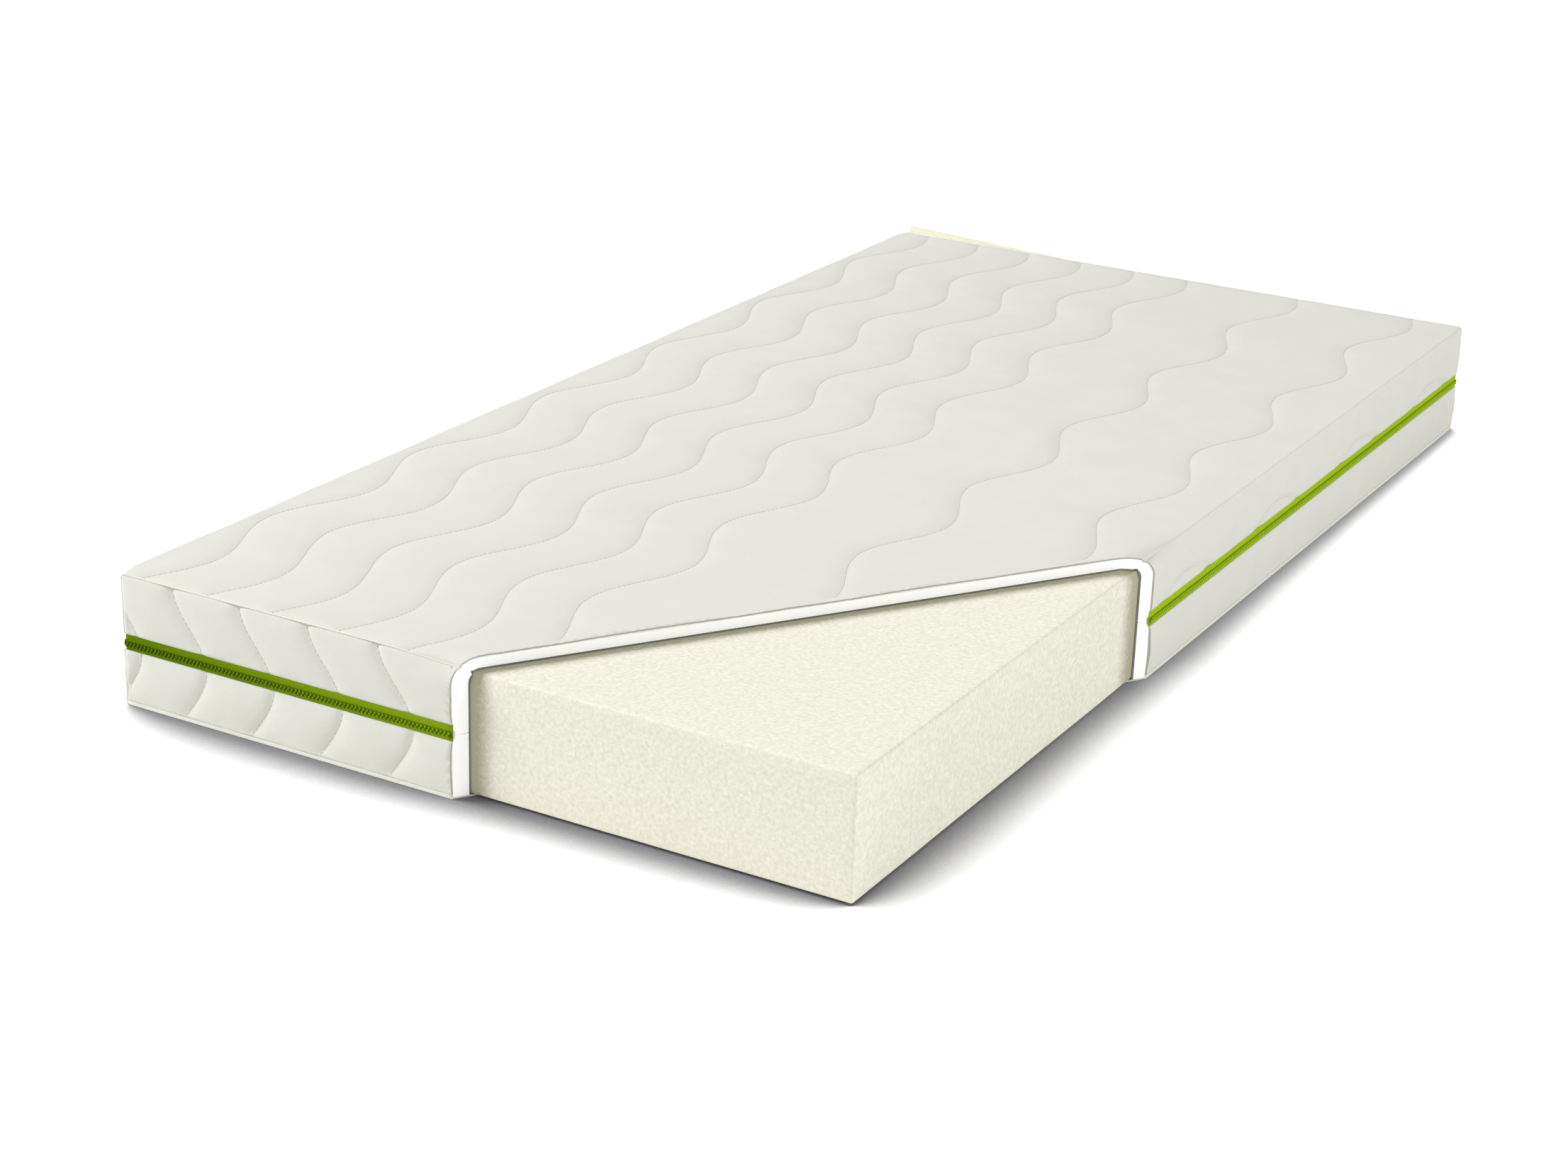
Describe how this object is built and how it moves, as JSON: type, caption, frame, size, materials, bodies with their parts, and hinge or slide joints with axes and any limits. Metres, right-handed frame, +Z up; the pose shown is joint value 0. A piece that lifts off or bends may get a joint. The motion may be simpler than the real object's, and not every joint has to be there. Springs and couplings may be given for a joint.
{
  "type": "foam mattress",
  "caption": "Single-bed foam mattress: one foam block in a two-part quilted cover with a green zip all round, one corner of the cover cut away to show the inside.",
  "frame": {"origin": "middle of the underside, on the floor; the zip slider stands about 6 mm proud of the left side and isn't counted in the centring", "axes": "+X across the bed towards the side whose corner is cut away, +Y from the foot end to the head end, +Z up"},
  "size_m": [1.0075, 2.0022, 0.17],
  "materials": {
    "polyurethane_foam": "matte",
    "base_weave": "matte",
    "knit_face": "matte",
    "quilt_wadding": "matte",
    "quilt_lining": "matte",
    "quilting_thread": "satin",
    "seam_trim": "matte",
    "zip_tape": "matte",
    "zip_coil": "satin",
    "zip_slider": "satin"
  },
  "bodies": {
    "lower_cover": {"base_fabric": "base_weave", "base_binding": "seam_trim", "foot_lower_face": "knit_face", "foot_lower_wadding": "quilt_wadding", "foot_lower_lining": "quilt_lining", "head_lower_face": "knit_face", "head_lower_wadding": "quilt_wadding", "head_lower_lining": "quilt_lining", "left_lower_face": "knit_face", "left_lower_wadding": "quilt_wadding", "left_lower_lining": "quilt_lining", "right_lower_face": "knit_face", "right_lower_wadding": "quilt_wadding", "right_lower_lining": "quilt_lining", "lower_corner_seams": "seam_trim", "foot_lower_thread": "quilting_thread", "head_lower_thread": "quilting_thread", "lower_zip_tape": "zip_tape", "lower_zip_coil": "zip_coil"},
    "core": {"foam_core": "polyurethane_foam"},
    "upper_cover": {"top_face": "knit_face", "top_wadding": "quilt_wadding", "top_lining": "quilt_lining", "top_thread": "quilting_thread", "foot_upper_face": "knit_face", "foot_upper_wadding": "quilt_wadding", "foot_upper_lining": "quilt_lining", "foot_upper_thread": "quilting_thread", "head_upper_face": "knit_face", "head_upper_wadding": "quilt_wadding", "head_upper_lining": "quilt_lining", "head_upper_thread": "quilting_thread", "foot_end_seam": "seam_trim", "head_end_seam": "seam_trim", "upper_zip_tape": "zip_tape", "upper_zip_coil": "zip_coil"},
    "slider": {"slider_body": "zip_slider"},
    "pull_tab": {"slider_pull": "zip_slider"}
  },
  "joints": [
    {"name": "core_lift", "type": "slide", "parent": "lower_cover", "child": "core", "axis": [0, 0, 1], "range_m": [0, 0.12]},
    {"name": "cover_lift", "type": "slide", "parent": "core", "child": "upper_cover", "axis": [0, 0, 1], "range_m": [0, 0.12]},
    {"name": "slider_run", "type": "slide", "parent": "lower_cover", "child": "slider", "axis": [0, -1, 0], "range_m": [0, 0.06]},
    {"name": "pull_swing", "type": "hinge", "parent": "slider", "child": "pull_tab", "pos_m": [-0.5039, 0.79, 0.079], "axis": [0, 0, -1], "range_deg": [0, 170]}
  ]
}
